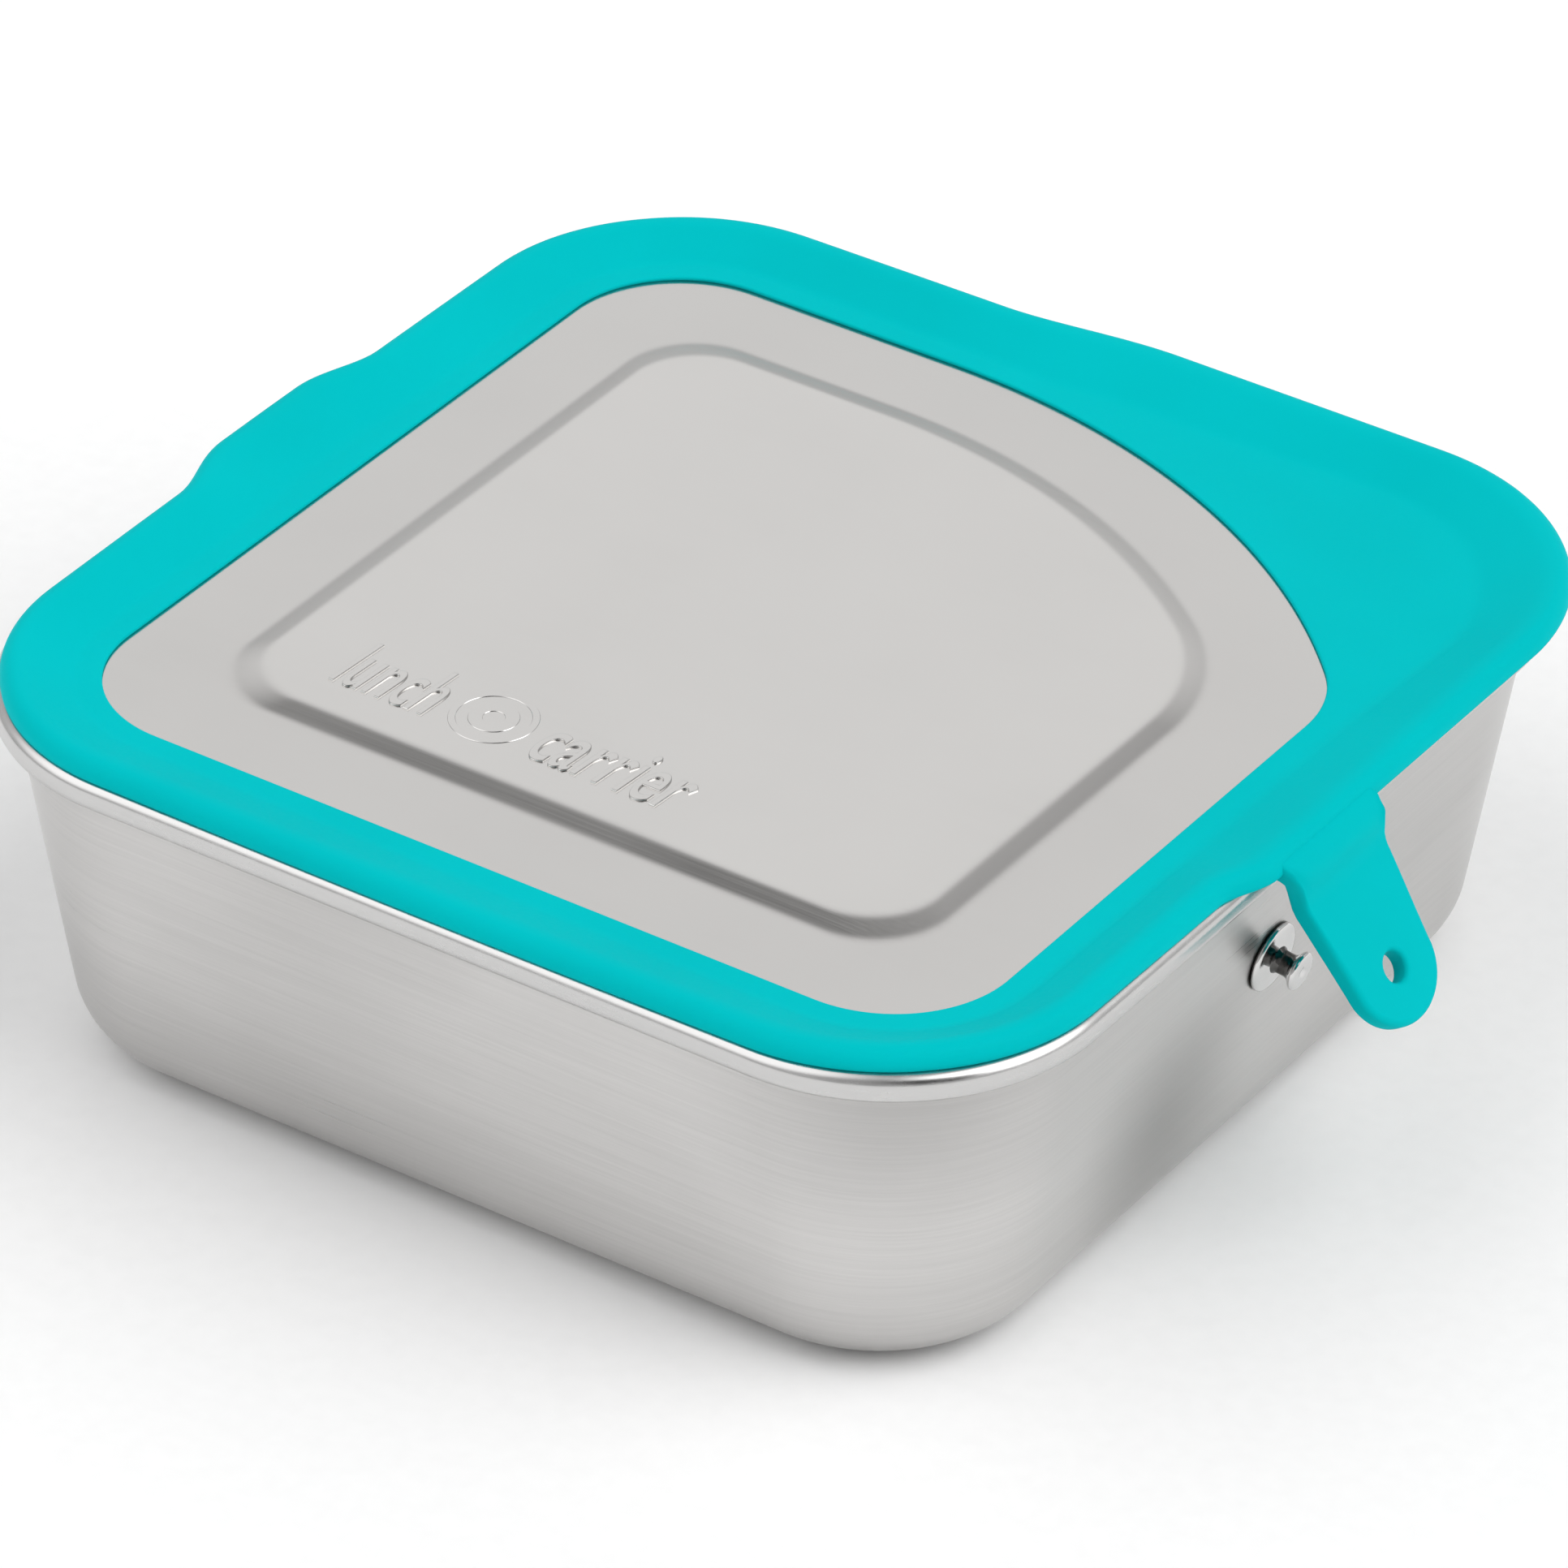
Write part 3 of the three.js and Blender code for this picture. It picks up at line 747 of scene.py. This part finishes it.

# the panel's flat border a tone darker than its raised centre; painted shade at the foot of the walls,
# where they reflect the shaded floor beside the box; and two painted dark reflections on the walls: by
# the strap and under the bead at the near corner
shade_below(TOP_STEEL, PANEL_TOP, RAISED_TOP, 0.93)
shade_below(WALL_STEEL, 3.0, 24.0, 0.88)
shade_around(WALL_STEEL, (74.0, -22.0, 19.0), 24.0, 0.66)
shade_around(WALL_STEEL, (64.0, -72.0, 47.0), 32.0, 0.8)

dress(build_tray(), [WALL_STEEL, BEAD_STEEL], "box", "tray")
dress(build_stud(), [STUD_STEEL, STUD_PAINTED_SHADE], "box", "latch_stud")
dress(build_panel(), [TOP_STEEL], "lid", "lid_panel")
dress(build_frame(), [TEAL], "lid", "lid_frame")
dress(build_mark(), [TOP_STEEL], "lid")
strap = dress(build_strap(), [TEAL], None, "lid_strap")
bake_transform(strap)


# ---- floor, light and camera ----
FLOOR_HALF = 6.0
FLOOR_DARK = (0.93, 0.93, 0.93)
FLOOR_LIGHT = (0.95, 0.95, 0.95)
# sine of the elevation, brightness: an even wall, and a dim ceiling
WORLD_RAMP = [(0.0, 0.5), (0.2, 0.58), (0.45, 0.62), (0.6, 0.56), (0.7, 0.4), (0.82, 0.17), (1.0, 0.27)]
# direction, full out to this angle, gone beyond this angle, brightness
WORLD_PATCHES = [
    ((0.46, -0.69, 0.556), 10, 40, 0.38),
    ((-0.46, 0.69, 0.556), 9, 20, 0.98),
    ((0.7, 0.15, 0.75), 18, 38, 3.0),
    ((-0.46, -0.45, 0.75), 20, 44, 1.6),
    ((0.72, -0.46, 0.54), 12, 23, 0.02),
]
CAMERA_ANGLES = (33.751, 33.792, 0.832)  # azimuth, elevation, roll
CAMERA_DISTANCE = 1.391
CAMERA_TARGET = (-0.02285, 0.03572, 0.0)
CAMERA_LENS = 236.87


def build_floor():
    mesh = bpy.data.meshes.new("floor")
    corners = [(-FLOOR_HALF, -FLOOR_HALF, 0), (FLOOR_HALF, -FLOOR_HALF, 0)]
    corners += [(FLOOR_HALF, FLOOR_HALF, 0), (-FLOOR_HALF, FLOOR_HALF, 0)]
    mesh.from_pydata(corners, [], [(0, 1, 2, 3)])
    floor = bpy.data.objects.new("floor", mesh)
    bpy.context.scene.collection.objects.link(floor)
    n = Nodes("floor_paper")
    grain = n.noise(n.stretched(EVEN), 300.0)
    n.set(n.shader, "Base_Color", n.mix(n.remap(grain, 0.3, 0.7, 0, 1), FLOOR_DARK, FLOOR_LIGHT))
    n.shader.inputs["Roughness"].default_value = 0.9
    n.shader.inputs["Specular IOR Level"].default_value = 0.1
    mesh.materials.append(n.material)


def build_world():
    """A pale studio: even walls, a dim ceiling, and soft patches of light and dark."""
    world = bpy.data.worlds.new("studio")
    bpy.context.scene.world = world
    world.use_nodes = True
    tree = world.node_tree
    place = tree.nodes.new("ShaderNodeTexCoord")
    split = tree.nodes.new("ShaderNodeSeparateXYZ")
    ramp = tree.nodes.new("ShaderNodeValToRGB")
    tree.links.new(place.outputs["Generated"], split.inputs[0])
    tree.links.new(split.outputs["Z"], ramp.inputs[0])
    elements = ramp.color_ramp.elements
    while len(elements) < len(WORLD_RAMP):
        elements.new(0.5)
    for element, (position, value) in zip(elements, WORLD_RAMP):
        element.position = position
        element.color = (value, value, value, 1)
    colour = ramp.outputs[0]
    for direction, inner, outer, value in WORLD_PATCHES:
        aim = tree.nodes.new("ShaderNodeVectorMath")
        aim.operation = "DOT_PRODUCT"
        tree.links.new(place.outputs["Generated"], aim.inputs[0])
        aim.inputs[1].default_value = Vector(direction).normalized()
        share = tree.nodes.new("ShaderNodeMapRange")
        share.interpolation_type = "SMOOTHSTEP"
        tree.links.new(aim.outputs["Value"], share.inputs["Value"])
        share.inputs["From Min"].default_value = math.cos(math.radians(outer))
        share.inputs["From Max"].default_value = math.cos(math.radians(inner))
        mix = tree.nodes.new("ShaderNodeMix")
        mix.data_type = "RGBA"
        tree.links.new(share.outputs[0], mix.inputs[0])
        tree.links.new(colour, mix.inputs[6])
        mix.inputs[7].default_value = (value, value, value, 1)
        colour = mix.outputs[2]
    tree.links.new(colour, tree.nodes["Background"].inputs["Color"])
    tree.nodes["Background"].inputs["Strength"].default_value = 1.0


def build_camera():
    azimuth, elevation, roll = (math.radians(v) for v in CAMERA_ANGLES)
    flat = math.cos(elevation)
    back = Vector((math.sin(azimuth) * flat, -math.cos(azimuth) * flat, math.sin(elevation)))
    level = (-back).cross(Vector((0, 0, 1))).normalized()
    upright = level.cross(-back)
    right = math.cos(roll) * level + math.sin(roll) * upright
    up = math.cos(roll) * upright - math.sin(roll) * level
    data = bpy.data.cameras.new("camera")
    data.sensor_width = 36
    data.lens = CAMERA_LENS
    camera = bpy.data.objects.new("camera", data)
    bpy.context.scene.collection.objects.link(camera)
    turn = Matrix((right, up, back)).transposed().to_4x4()
    place = Matrix.Translation(Vector(CAMERA_TARGET) + back * CAMERA_DISTANCE)
    camera.matrix_world = place @ turn
    bpy.context.scene.camera = camera


build_floor()
build_world()
build_camera()
bpy.context.scene.view_settings.view_transform = "Standard"
